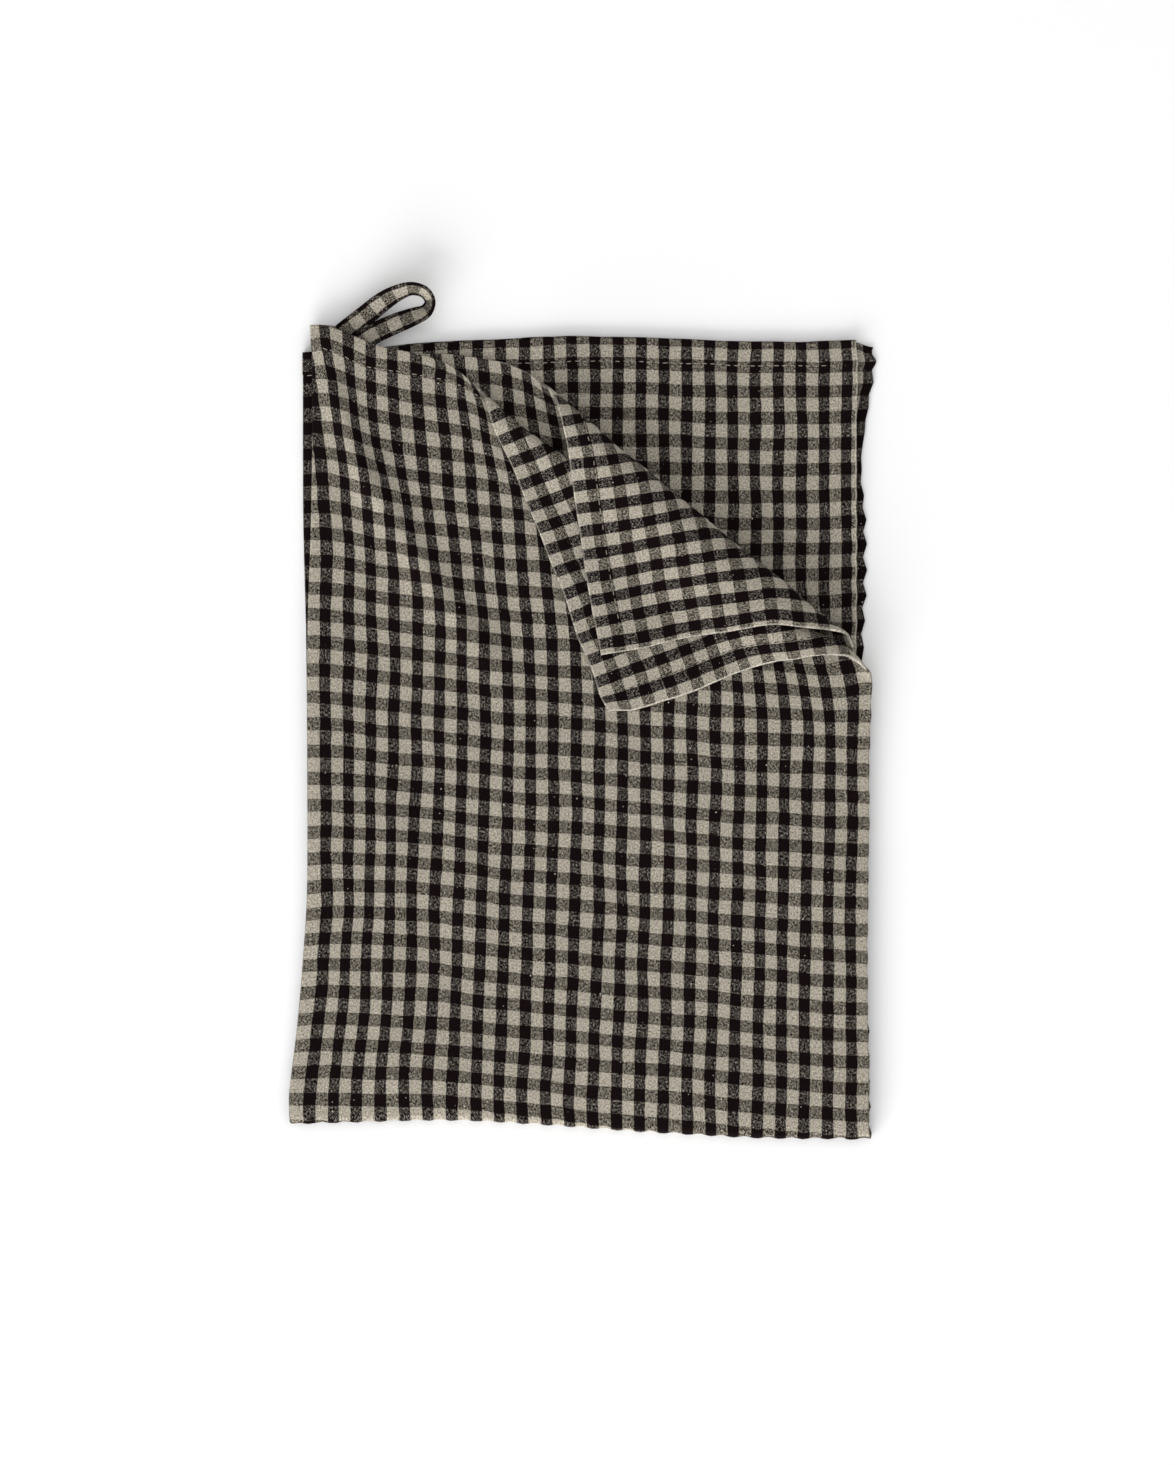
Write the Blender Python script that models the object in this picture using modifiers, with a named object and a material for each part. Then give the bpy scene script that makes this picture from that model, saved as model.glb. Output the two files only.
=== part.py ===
"""A folded tea towel with a hanging loop.

The towel is one sheet of gingham linen, hemmed all round. It is folded lengthwise (the fold lies at
the left, -X) and then across (the fold lies at the bottom, -Y), so that it lies four layers thick
with its free hems at the top and at the right. The top right corners of the two front layers are
turned down together, over two soft crests. The hanging loop is a folded strap of the same cloth,
sewn under the top hem beside the lengthwise fold.

The sheet starts as a flat grid, and lay_cloth() carries each point of it to its folded place.
u runs across the cloth from the lengthwise fold, positive on the half that shows on top, and v runs
along it from the front's top hem, over the cross fold, to the back's top hem.
Tables are in millimetres and the model is in metres, +Z up, resting on z = 0. The origin is the
middle of the model's box, at the bottom; tables count x and y from a point near it.
"""

import math
from collections import namedtuple

import bmesh
import bpy
import numpy as np
from mathutils import Vector

MM = 0.001

# --- Cloth -----------------------------------------------------------------------------------
U_LOW, U_HIGH = -245.0, 254.0  # side hems, either side of the lengthwise fold
LENGTH = 688.0  # from top hem to top hem
SHEET = 1.0  # thickness of one layer
PITCH = 1.6  # from one layer's middle to the next one's
GRID_STEP = 16.5  # cell of the flat grid
ON_LINE = 0.0001  # a point this near a cut lies on it

# --- Folds -----------------------------------------------------------------------------------
TURN = PITCH / 2  # radius of the lengthwise fold at the sheet's middle
CROSS_TURN = PITCH  # radius of the cross fold between the front pair and the back pair
CROSS_HEIGHT = SHEET / 2 + 1.5 * PITCH  # height of the cross fold's axis
CROSS_FOLD_V = 349.0  # where the cross fold crosses the lengthwise fold
CROSS_FOLD_LEAN = -0.05  # change of its v per mm across
TOP_SHIFT = 12.0  # the lengthwise fold leaves the middle by this much at the front's top hem
TOP_SHIFT_REACH = 150.0  # and comes back to it this far down

# Outline of the folded towel, left and right, by height above the cross fold:
# front_fold and back_fold are the lengthwise fold, the others are the right hems.
Outline = namedtuple("Outline", "up front_fold back_fold top_layer inner_back under")
OUTLINE = (
    Outline(0, -131.6, -131.6, 126.7, 117.0, 126.7),
    Outline(12, -131.8, -131.8, 126.2, 116.5, 126.2),
    Outline(38, -128.7, -128.7, 125.3, 116.0, 125.3),
    Outline(70, -125.8, -125.8, 125.0, 117.5, 124.6),
    Outline(105, -123.8, -123.8, 125.0, 119.5, 124.2),
    Outline(205, -123.8, -124.3, 124.9, 120.0, 123.1),
    Outline(260, -122.2, -125.6, 123.5, 120.0, 124.0),
    Outline(292, -121.6, -125.8, 122.0, 120.0, 122.6),
    Outline(318, -121.6, -125.8, 121.0, 120.0, 124.4),
    Outline(332, -121.7, -125.8, 120.2, 120.0, 127.2),
    Outline(345, -122.2, -125.8, 119.8, 120.0, 128.0),
    Outline(356, -122.8, -125.8, 119.6, 119.6, 126.0),
)

# Across the towel: the cross fold, the rise of the back's top hem, and how far the front pair's
# cloth is dragged down towards the turned corners (outer = top layer, inner = the one below it).
Across = namedtuple("Across", "x cross_fold back_rise outer_drag inner_drag")
ACROSS = (
    Across(-132, -171.6, 0.5, -5.3, -5.3),
    Across(-114, -171.6, 1.0, -4.6, -4.6),
    Across(-88, -171.6, 1.8, 0.3, -1.2),
    Across(-65, -171.6, 2.5, 3.6, 2.2),
    Across(-34, -172.5, 3.4, 4.6, 5.4),
    Across(0, -174.0, 4.2, 4.0, 6.0),
    Across(50, -177.8, 4.0, 2.5, 5.0),
    Across(77, -179.0, 3.0, 1.5, 3.5),
    Across(127, -178.2, 0.5, 0.4, 1.0),
)
# Share of that drag by height above the cross fold.
DRAG_BY_HEIGHT = ((100, 0.0), (196, 0.5), (243, 0.75), (278, 0.95), (325, 1.05), (352, 1.2))
# Cloth of the inner front layer that is taken up beside the lengthwise fold, by height.
INNER_SLACK = ((0, 0.0), (250, 0.0), (290, 8.0), (346, 20.0))
INNER_SLACK_REACH = 60.0

# --- Turned corners --------------------------------------------------------------------------
# One crest for each of the two front layers. cloth_top and cloth_side are where it crosses the
# top hem and the side hem, in u and v; top and side are the same ends as they lie, in x and y.
# corner is how far along the crest the turned corner lies, overrun what the bias stretches at
# each end, and slip how much of the side hem slips over the crest. A pair is a size at the top
# end and at the side end: reach of the under side, height of the edge, height of the bulge, how
# far back it stands and where the flap comes to lie. gather is how far below the crest the flat
# cloth is drawn in, at the ends and in the middle.
Crest = namedtuple(
    "Crest",
    "cloth_top cloth_side top side corner overrun slip under edge bulge stand land lies_at "
    "rises_from hold gather",
)
CRESTS = {
    "outer": Crest(
        cloth_top=(101.0, 0.0),
        cloth_side=(254.0, 108.0),
        top=(-47.1, 149.8),
        side=(122.7, 28.4),
        corner=126.5,
        overrun=(-1.0, 20.0),
        slip=20.0,
        under=(2.0, 4.0),
        edge=(6.9, 9.4),
        bulge=(8.6, 13.2),
        stand=(2.4, 8.0),
        land=(11.0, 40.0),
        lies_at=SHEET / 2 + 4 * PITCH,
        rises_from=SHEET / 2 + 3 * PITCH,
        hold=(1.0, 4.0),
        gather=(56.0, 70.0),
    ),
    "inner": Crest(
        cloth_top=(118.8, 0.0),
        cloth_side=(245.0, 107.0),
        top=(-19.3, 155.6),
        side=(113.8, 44.0),
        corner=96.2,
        overrun=(3.5, 8.0),
        slip=9.0,
        under=(6.0, 6.0),
        edge=(8.4, 9.9),
        bulge=(13.4, 17.0),
        stand=(7.0, 14.0),
        land=(35.0, 55.0),
        lies_at=SHEET / 2 + 5.5 * PITCH,
        rises_from=SHEET / 2 + 2 * PITCH,
        hold=(3.0, 8.0),
        gather=(30.0, 44.0),
    ),
}
OVERRUN_REACH = 30.0  # the stretch at a crest's ends is gone this far into the flap
SLIP_REACH = 45.0  # the slip begins this far before the side hem
SLIP_FADE = 100.0  # and is gone this far below the crest
CREST_CUTS = {
    "outer": (0.0, -2.0, -4.5, -10.0, -20.0, 2.2, 5.0, 9.0, 16.0),
    "inner": (0.0, -3.0, -6.5, -12.0, -24.0, 3.5, 8.0, 14.0, 22.0),
}
CREST_SNAP = 0.9  # a cut beside a crest goes through the corners that lie this near it
ARC_STEPS = 12  # steps of a quarter round in a crest's section

# --- Soft creases of the front pair ----------------------------------------------------------
# Each runs from one point to another, in x and y, and lifts the top layer along its line.
Crease = namedtuple("Crease", "start end height width")
CREASES = (
    Crease((-110.0, 145.0), (-95.0, 112.0), 1.6, 9.0),
    Crease((-95.0, 112.0), (-48.0, 38.0), 1.3, 12.0),
    Crease((-100.0, -30.0), (-104.0, -150.0), 1.0, 10.0),
    Crease((20.0, -20.0), (100.0, -60.0), 0.9, 16.0),
    Crease((-70.0, -60.0), (30.0, -140.0), 0.8, 18.0),
)
INNER_LIFT = 0.4  # share of it that the layer below takes
HEM_LIFT = 3.0  # the top hem rides over the hanging loop's ends
HEM_LIFT_AT = (-103.0, 175.0)  # x and y of its middle
HEM_LIFT_REACH = (26.0, 24.0)  # how far it fades, in x and in y
LIFT_FROM_FOLD = 8.0  # both fade in this far from the lengthwise fold
OVERHANG_DROOP = 1.8  # the front pair sinks to the ground where it reaches past the back pair
OVERHANG_FROM = 340.5  # height of the back's top hem above the cross fold
OVERHANG_REACH = 17.0  # the overhang is down by this much farther
OVERHANG_ROWS = (4.0, 9.0)  # the flat grid has lines here, where the overhang sinks

# --- Hanging loop ----------------------------------------------------------------------------
STRAP_WIDTH = 9.2
STRAP_THICKNESS = 1.1
STRAP_STEPS = 64
# Route of the strap's middle line. lean turns it about that line: 0 lies flat, 90 stands on edge.
Route = namedtuple("Route", "x y z lean")
STRAP_ROUTE = (
    Route(-110.4, 176.6, 4.7, 0),
    Route(-107.0, 179.4, 4.75, 0),
    Route(-97.5, 186.7, 5.6, 10),
    Route(-90.2, 192.4, 6.2, 26),
    Route(-84.0, 196.0, 6.6, 44),
    Route(-77.8, 197.9, 6.6, 56),
    Route(-72.2, 196.2, 6.2, 60),
    Route(-69.6, 192.0, 5.7, 62),
    Route(-71.6, 187.4, 5.3, 58),
    Route(-77.6, 184.0, 5.1, 44),
    Route(-85.3, 180.4, 5.1, 24),
    Route(-94.0, 176.0, 5.2, 0),
    Route(-101.0, 172.2, 5.5, 0),
)

LINEN = (0.42, 0.39, 0.33, 1.0)
STRAP_LINEN = (0.30, 0.28, 0.25, 1.0)


def ease(t):
    """0 to 1, level at both ends."""
    t = min(max(t, 0.0), 1.0)
    return t * t * (3.0 - 2.0 * t)


def mix(pair, share):
    return pair[0] + (pair[1] - pair[0]) * share


def curve_through(stations, values, at):
    """The height at one place of a smooth curve through the given points."""
    if at <= stations[0]:
        return values[0]
    if at >= stations[-1]:
        return values[-1]
    i = next(k for k in range(len(stations) - 1) if at <= stations[k + 1])

    def slope(k):
        before, after = max(k - 1, 0), min(k + 1, len(stations) - 1)
        return (values[after] - values[before]) / (stations[after] - stations[before])

    span = stations[i + 1] - stations[i]
    t = (at - stations[i]) / span
    start, end = values[i], values[i + 1]
    return (
        start
        + (end - start) * (3 * t**2 - 2 * t**3)
        + slope(i) * span * (t**3 - 2 * t**2 + t)
        + slope(i + 1) * span * (t**3 - t**2)
    )


def read(rows, column, at):
    """A table's column at one station, which is its first column."""
    return curve_through([row[0] for row in rows], [getattr(row, column) for row in rows], at)


def read_pairs(pairs, at):
    return float(np.interp(at, [pair[0] for pair in pairs], [pair[1] for pair in pairs]))


def from_line(point, start, end):
    """Distance of a point from a line, and how far along the line it lies."""
    run = math.dist(start, end)
    ex, ey = (end[0] - start[0]) / run, (end[1] - start[1]) / run
    dx, dy = point[0] - start[0], point[1] - start[1]
    return dx * ey - dy * ex, dx * ex + dy * ey, run


def crest_section(crest, share, past):
    """Distance back from a crest's edge, and height, of cloth that lies `past` mm beyond the edge."""
    edge = mix(crest.edge, share)
    turn = np.linspace(0.0, math.pi / 2, ARC_STEPS)
    if past < 0:
        under = mix(crest.under, share)
        back = under * (1 - np.cos(turn))
        height = edge - (edge - crest.rises_from) * np.sin(turn)
    else:
        stand, land, bulge = mix(crest.stand, share), mix(crest.land, share), mix(crest.bulge, share)
        fall = np.linspace(0.0, 1.0, 2 * ARC_STEPS)[1:]
        back = np.append(stand * (1 - np.cos(turn)), stand + (land - stand) * fall)
        height = edge + (bulge - edge) * np.sin(turn)
        height = np.append(height, bulge + (crest.lies_at - bulge) * fall**2 * (3 - 2 * fall))
    run = np.append(0.0, np.cumsum(np.hypot(np.diff(back), np.diff(height))))
    if abs(past) >= run[-1]:
        return back[-1] + abs(past) - run[-1], height[-1]
    return float(np.interp(abs(past), run, back)), float(np.interp(abs(past), run, height))


def turn_corner(crest, across, v, flat):
    """Carries cloth near and beyond a crest from its place in the flat pair to the turned corner."""
    past, along, run = from_line((across, v), crest.cloth_top, crest.cloth_side)
    share = min(max(along / run, 0.0), 1.0)
    hold = mix(crest.hold, share)
    gather = crest.gather[0] + (crest.gather[1] - crest.gather[0]) * math.sin(math.pi * share)
    if past <= -(hold + gather):
        return flat
    back, height = crest_section(crest, share, past)
    corner_along = from_line((crest.cloth_side[0], 0.0), crest.cloth_top, crest.cloth_side)[1]
    beyond = along - corner_along
    if beyond > 0:
        stretch = crest.overrun[1] * min(beyond / (run - corner_along), 1.0)
    else:
        stretch = crest.overrun[0] * min(-beyond / corner_along, 1.0)
    stretch *= 1 - ease(past / OVERRUN_REACH)
    drawn = math.dist(crest.top, crest.side)
    ex, ey = (crest.side[0] - crest.top[0]) / drawn, (crest.side[1] - crest.top[1]) / drawn
    place = crest.corner + beyond + stretch
    turned = (crest.top[0] + ex * place + ey * back, crest.top[1] + ey * place - ex * back)
    held = (1 - max((-past - hold) / gather, 0.0)) ** 2
    x = flat[0] + (turned[0] - flat[0]) * held
    y = flat[1] + (turned[1] - flat[1]) * held
    return x, y, height


def lift(x, y):
    """Height that the soft creases add to the top layer."""
    total = 0.0
    for crease in CREASES:
        off, along, run = from_line((x, y), crease.start, crease.end)
        beyond = max(-along, along - run, 0.0)
        total += crease.height * math.exp(-((off / crease.width) ** 2) - (beyond / (2 * crease.width)) ** 2)
    return total


def hem_slip(crest, across, v):
    """Extra length of cloth drawn up to the side end of a crest from below it."""
    past, along, run = from_line((across, v), crest.cloth_top, crest.cloth_side)
    share = min(max((along - run) / SLIP_REACH + 1.0, 0.0), 1.0)
    return crest.slip * share**2 * (1 - ease(-past / SLIP_FADE))


def top_shift(v):
    return TOP_SHIFT * max(0.0, 1 - v / TOP_SHIFT_REACH) ** 2


def cross_fold_v(u):
    return CROSS_FOLD_V + CROSS_FOLD_LEAN * abs(u)


def cloth_point(across, down):
    """Cloth u and v of a point of the flat grid, whose middle lines are the two folds."""
    middle = LENGTH / 2
    v = down + (cross_fold_v(across) - middle) * (1 - abs(down - middle) / middle)
    half = U_HIGH if across > 0 else -U_LOW
    shift = top_shift(v) if down < middle else 0.0
    return across + shift * (1 - abs(across) / half), v, shift


def lay_cloth(across, down):
    """Where a point of the flat grid lies in the folded towel."""
    u, v, shift = cloth_point(across, down)
    front = down < LENGTH / 2
    outer = across > 0
    crest = CRESTS["outer" if outer else "inner"]
    slip = hem_slip(crest, abs(u), v) if front else 0.0

    round_fold = min(max((u - shift) / TURN, -math.pi / 2), math.pi / 2)
    out = TURN * math.sin(round_fold)
    from_fold = TURN * (1 - math.cos(round_fold)) + max(abs(u - shift) - TURN * math.pi / 2, 0.0)

    past_cross = min(v + slip - cross_fold_v(u), 0.0) if front else v - cross_fold_v(u)
    round_cross = min(max(past_cross / CROSS_TURN, -math.pi / 2), math.pi / 2)
    up = CROSS_TURN * (1 - math.cos(round_cross)) + max(abs(past_cross) - CROSS_TURN * math.pi / 2, 0.0)
    z = CROSS_HEIGHT - (CROSS_TURN + out) * math.sin(round_cross)

    if front:
        fold_x = read(OUTLINE, "front_fold", up)
        hem = "top_layer" if outer else "inner_back"
        hem_u = U_HIGH - shift if outer else -U_LOW
    else:
        fold_x = read(OUTLINE, "back_fold", up)
        hem = "under" if outer else "inner_back"
        hem_u = U_HIGH if outer else -U_LOW
    x = fold_x + from_fold * (read(OUTLINE, hem, up) - fold_x) / hem_u
    if front and not outer:
        x -= read_pairs(INNER_SLACK, up) * ease(from_fold / INNER_SLACK_REACH)
    y = read(ACROSS, "cross_fold", x) + up - out * math.cos(round_cross)
    if not front:
        y += read(ACROSS, "back_rise", x) * up / CROSS_FOLD_V
        return x, y, z
    y -= read(ACROSS, "outer_drag" if outer else "inner_drag", x) * read_pairs(DRAG_BY_HEIGHT, up)
    x, y, z = turn_corner(crest, abs(u), v, (x, y, z))
    free = ease(from_fold / LIFT_FROM_FOLD)
    z += lift(x, y) * ease(up / 20.0) * free * (1.0 if outer else INNER_LIFT)
    past_back = y - read(ACROSS, "cross_fold", x) - read(ACROSS, "back_rise", x) - OVERHANG_FROM
    z -= OVERHANG_DROOP * ease(past_back / OVERHANG_REACH)
    if outer:
        dx, dy = (x - HEM_LIFT_AT[0]) / HEM_LIFT_REACH[0], (y - HEM_LIFT_AT[1]) / HEM_LIFT_REACH[1]
        z += HEM_LIFT * free * math.exp(-(dx**2) - dy**2)
    return x, y, z


def cut_lines(mesh, stations, axis):
    """Cuts the flat grid along lines square to one axis."""
    for station in stations:
        point, normal = Vector((0, 0, 0)), Vector((0, 0, 0))
        point[axis], normal[axis] = station, 1.0
        everything = mesh.verts[:] + mesh.edges[:] + mesh.faces[:]
        bmesh.ops.bisect_plane(mesh, geom=everything, dist=ON_LINE, plane_co=point, plane_no=normal)


def cut_crest(mesh, crest, side, distances):
    """Cuts one front quarter of the flat grid along lines beside its crest."""
    ax, ay = crest.cloth_top
    bx, by = crest.cloth_side
    run = math.dist(crest.cloth_top, crest.cloth_side)
    normal = Vector(((by - ay) / run * side, -(bx - ax) / run, 0.0))
    for distance in distances:
        quarter = [
            face
            for face in mesh.faces
            if face.calc_center_median().x * side > 0 and face.calc_center_median().y < LENGTH / 2
        ]
        geometry = set(quarter)
        for face in quarter:
            geometry.update(face.edges)
            geometry.update(face.verts)
        point = Vector((ax * side, ay, 0.0)) + normal * distance
        bmesh.ops.bisect_plane(mesh, geom=list(geometry), dist=CREST_SNAP, plane_co=point, plane_no=normal)


def flat_cloth():
    """The hemmed sheet laid out flat, cut finer along every fold."""
    mesh = bmesh.new()
    width = U_HIGH - U_LOW
    bmesh.ops.create_grid(
        mesh, x_segments=round(width / GRID_STEP), y_segments=round(LENGTH / GRID_STEP), size=0.5
    )
    for vert in mesh.verts:
        vert.co.x = U_LOW + (vert.co.x + 0.5) * width
        vert.co.y = (vert.co.y + 0.5) * LENGTH
    turn = TURN * math.pi / 2
    cross = CROSS_TURN * math.pi / 2
    cut_lines(mesh, [turn * k / 2 for k in range(-2, 3)], 0)
    cut_lines(mesh, [LENGTH / 2 + cross * k / 3 for k in range(-3, 4)], 1)
    cut_lines(mesh, OVERHANG_ROWS, 1)
    cut_crest(mesh, CRESTS["outer"], 1, CREST_CUTS["outer"])
    cut_crest(mesh, CRESTS["inner"], -1, CREST_CUTS["inner"])
    bmesh.ops.triangulate(mesh, faces=mesh.faces[:], quad_method="SHORT_EDGE")
    return mesh


def strap_frame(share):
    """A place on the loop's route, with the strap's run and its width's direction."""
    run = [0.0]
    for before, after in zip(STRAP_ROUTE, STRAP_ROUTE[1:]):
        run.append(run[-1] + math.dist(before[:3], after[:3]))

    def at(distance):
        place = [curve_through(run, [row[k] for row in STRAP_ROUTE], distance) for k in range(4)]
        return Vector(place[:3]), math.radians(place[3])

    distance = share * run[-1]
    place, lean = at(distance)
    ahead = (at(min(distance + 0.5, run[-1]))[0] - at(max(distance - 0.5, 0.0))[0]).normalized()
    level = Vector((ahead.y, -ahead.x, 0.0)).normalized()
    upright = level.cross(ahead).normalized()
    return place, level * math.cos(lean) - upright * math.sin(lean)


def lay_strap(share, across):
    place, width_way = strap_frame(share)
    return place + width_way * across


def finish(name, mesh, thickness, color, collection):
    """Makes the object: a sheet about its middle surface, in its own material."""
    bmesh.ops.recalc_face_normals(mesh, faces=mesh.faces[:])
    data = bpy.data.meshes.new(name)
    mesh.to_mesh(data)
    mesh.free()
    data.shade_smooth()
    obj = bpy.data.objects.new(name, data)
    collection.objects.link(obj)
    solid = obj.modifiers.new("sheet", "SOLIDIFY")
    solid.thickness = thickness * MM
    solid.offset = 0.0
    solid.use_even_offset = False
    material = bpy.data.materials.new(name)
    material.use_nodes = True
    shader = material.node_tree.nodes["Principled BSDF"]
    shader.inputs["Base Color"].default_value = color
    shader.inputs["Roughness"].default_value = 0.9
    shader.inputs["Metallic"].default_value = 0.0
    data.materials.append(material)
    return obj


def build_towel(collection):
    mesh = flat_cloth()
    for vert in mesh.verts:
        vert.co = Vector(lay_cloth(vert.co.x, vert.co.y)) * MM
    return finish("towel", mesh, SHEET, LINEN, collection)


def build_loop(collection):
    mesh = bmesh.new()
    bmesh.ops.create_grid(mesh, x_segments=STRAP_STEPS, y_segments=2, size=0.5)
    for vert in mesh.verts:
        vert.co = lay_strap(vert.co.x + 0.5, vert.co.y * STRAP_WIDTH) * MM
    return finish("hanging_loop", mesh, STRAP_THICKNESS, STRAP_LINEN, collection)


def stand_on_origin(objects):
    """Moves the whole model so that the middle of its box stands over the origin."""
    bpy.context.view_layer.update()
    graph = bpy.context.evaluated_depsgraph_get()
    corners = []
    for obj in objects:
        shape = obj.evaluated_get(graph)
        corners += [Vector(corner) for corner in shape.bound_box]
    middle = [(min(c[k] for c in corners) + max(c[k] for c in corners)) / 2 for k in range(2)]
    for obj in objects:
        obj.location = (-middle[0], -middle[1], 0.0)


def main():
    for obj in list(bpy.data.objects):
        bpy.data.objects.remove(obj, do_unlink=True)
    collection = bpy.data.collections.new("tea_towel")
    bpy.context.scene.collection.children.link(collection)
    parts = [build_towel(collection), build_loop(collection)]
    stand_on_origin(parts)


main()
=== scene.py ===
"""A gingham linen tea towel, folded in quarters, lying flat with two corners turned down."""

import math
from collections import namedtuple

import bmesh
import bpy
import numpy as np
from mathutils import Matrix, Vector


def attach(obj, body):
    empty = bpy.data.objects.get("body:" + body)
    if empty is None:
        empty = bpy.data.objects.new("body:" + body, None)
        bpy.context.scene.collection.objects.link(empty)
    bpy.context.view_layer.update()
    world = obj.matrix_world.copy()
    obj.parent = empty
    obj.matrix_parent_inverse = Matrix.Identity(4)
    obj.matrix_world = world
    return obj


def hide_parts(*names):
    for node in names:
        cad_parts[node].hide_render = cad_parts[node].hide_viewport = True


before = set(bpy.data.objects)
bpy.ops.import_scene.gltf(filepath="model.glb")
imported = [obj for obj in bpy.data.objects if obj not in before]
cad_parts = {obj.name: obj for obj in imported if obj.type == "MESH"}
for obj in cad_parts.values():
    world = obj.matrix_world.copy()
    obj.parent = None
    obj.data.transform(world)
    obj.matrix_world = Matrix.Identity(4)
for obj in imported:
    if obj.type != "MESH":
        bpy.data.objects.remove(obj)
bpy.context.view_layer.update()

# --- The towel -------------------------------------------------------------------------------
# One sheet of plain-woven linen, about 50 by 69 cm, with a sewn hem all round. It is folded
# lengthwise, then across, and lies in four layers. The top right corners of the two front layers
# are turned down together.

MM = 0.001  # the towel's sizes are in millimetres

# The flat cloth. u runs across it from the lengthwise fold and is positive on the half that shows
# on top. v runs along it from the front's top hem.
U_LOW, U_HIGH = -245.0, 254.0
LENGTH = 688.0
HEM = 11.0
COLUMN_PITCH, COLUMN_MIDDLE = 10.35, 8.2
ROW_PITCH, ROW_MIDDLE = 11.75, 9.0

# The stack, whose layers lie one pitch apart.
SHEET = 1.0
PITCH = 1.6
TURN = PITCH / 2
CROSS_TURN = PITCH
CROSS_HEIGHT = SHEET / 2 + 1.5 * PITCH
CROSS_FOLD_V = 349.0
CROSS_FOLD_LEAN = -0.05
TOP_SHIFT = 12.0  # how far the lengthwise fold strays from u = 0 at the front's top hem
TOP_SHIFT_REACH = 150.0
TABLE_ZERO = (2.57, -10.32)  # where x and y of the tables start, in the frame

# Where the folds and side hems lie, by the height above the cross fold.
Outline = namedtuple("Outline", "up front_fold back_fold top_layer inner_back under")
OUTLINE = (
    Outline(0, -131.6, -131.6, 126.7, 117.0, 126.7),
    Outline(12, -131.8, -131.8, 126.2, 116.5, 126.2),
    Outline(38, -128.7, -128.7, 125.3, 116.0, 125.3),
    Outline(70, -125.8, -125.8, 125.0, 117.5, 124.6),
    Outline(105, -123.8, -123.8, 125.0, 119.5, 124.2),
    Outline(205, -123.8, -124.3, 124.9, 120.0, 123.1),
    Outline(260, -122.2, -125.6, 123.5, 120.0, 124.0),
    Outline(292, -121.6, -125.8, 122.0, 120.0, 122.6),
    Outline(318, -121.6, -125.8, 121.0, 120.0, 124.4),
    Outline(332, -121.7, -125.8, 120.2, 120.0, 127.2),
    Outline(345, -122.2, -125.8, 119.8, 120.0, 128.0),
    Outline(356, -122.8, -125.8, 119.6, 119.6, 126.0),
)

# Where the cross fold lies, and how the cloth above it is drawn up or down, by the place across.
Across = namedtuple("Across", "x cross_fold back_rise outer_drag inner_drag")
ACROSS = (
    Across(-132, -171.6, 0.5, -5.3, -5.3),
    Across(-114, -171.6, 1.0, -4.6, -4.6),
    Across(-88, -171.6, 1.8, 0.3, -1.2),
    Across(-65, -171.6, 2.5, 3.6, 2.2),
    Across(-34, -172.5, 3.4, 4.6, 5.4),
    Across(0, -174.0, 4.2, 4.0, 6.0),
    Across(50, -177.8, 4.0, 2.5, 5.0),
    Across(77, -179.0, 3.0, 1.5, 3.5),
    Across(127, -178.2, 0.5, 0.4, 1.0),
)
DRAG_BY_HEIGHT = ((100, 0.0), (196, 0.5), (243, 0.75), (278, 0.95), (325, 1.05), (352, 1.2))
INNER_SLACK = ((0, 0.0), (250, 0.0), (290, 8.0), (346, 20.0))
INNER_SLACK_REACH = 60.0


def ease(t):
    t = np.clip(t, 0.0, 1.0)
    return t * t * (3.0 - 2.0 * t)


def read(rows, column, at):
    """A table's column at any stations, on a smooth curve."""
    stations = np.array([row[0] for row in rows], float)
    values = np.array([getattr(row, column) for row in rows], float)
    before = np.maximum(np.arange(len(rows)) - 1, 0)
    after = np.minimum(np.arange(len(rows)) + 1, len(rows) - 1)
    slopes = (values[after] - values[before]) / (stations[after] - stations[before])
    i = np.clip(np.searchsorted(stations, at) - 1, 0, len(rows) - 2)
    span = stations[i + 1] - stations[i]
    t = np.clip((at - stations[i]) / span, 0.0, 1.0)
    return (
        values[i]
        + (values[i + 1] - values[i]) * (3 * t**2 - 2 * t**3)
        + slopes[i] * span * (t**3 - 2 * t**2 + t)
        + slopes[i + 1] * span * (t**3 - t**2)
    )


def read_pairs(pairs, at):
    return np.interp(at, [pair[0] for pair in pairs], [pair[1] for pair in pairs])


def cloth_point(across, down):
    """Cloth u and v of a point of the flat grid, whose middle lines are the two folds."""
    middle = LENGTH / 2
    fold_v = CROSS_FOLD_V + CROSS_FOLD_LEAN * np.abs(across)
    v = down + (fold_v - middle) * (1 - np.abs(down - middle) / middle)
    half = np.where(across > 0, U_HIGH, -U_LOW)
    shift = np.where(down < middle, TOP_SHIFT * np.maximum(0.0, 1 - v / TOP_SHIFT_REACH) ** 2, 0.0)
    return across + shift * (1 - np.abs(across) / half), v, shift


Place = namedtuple("Place", "u v front outer from_fold up")


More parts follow.
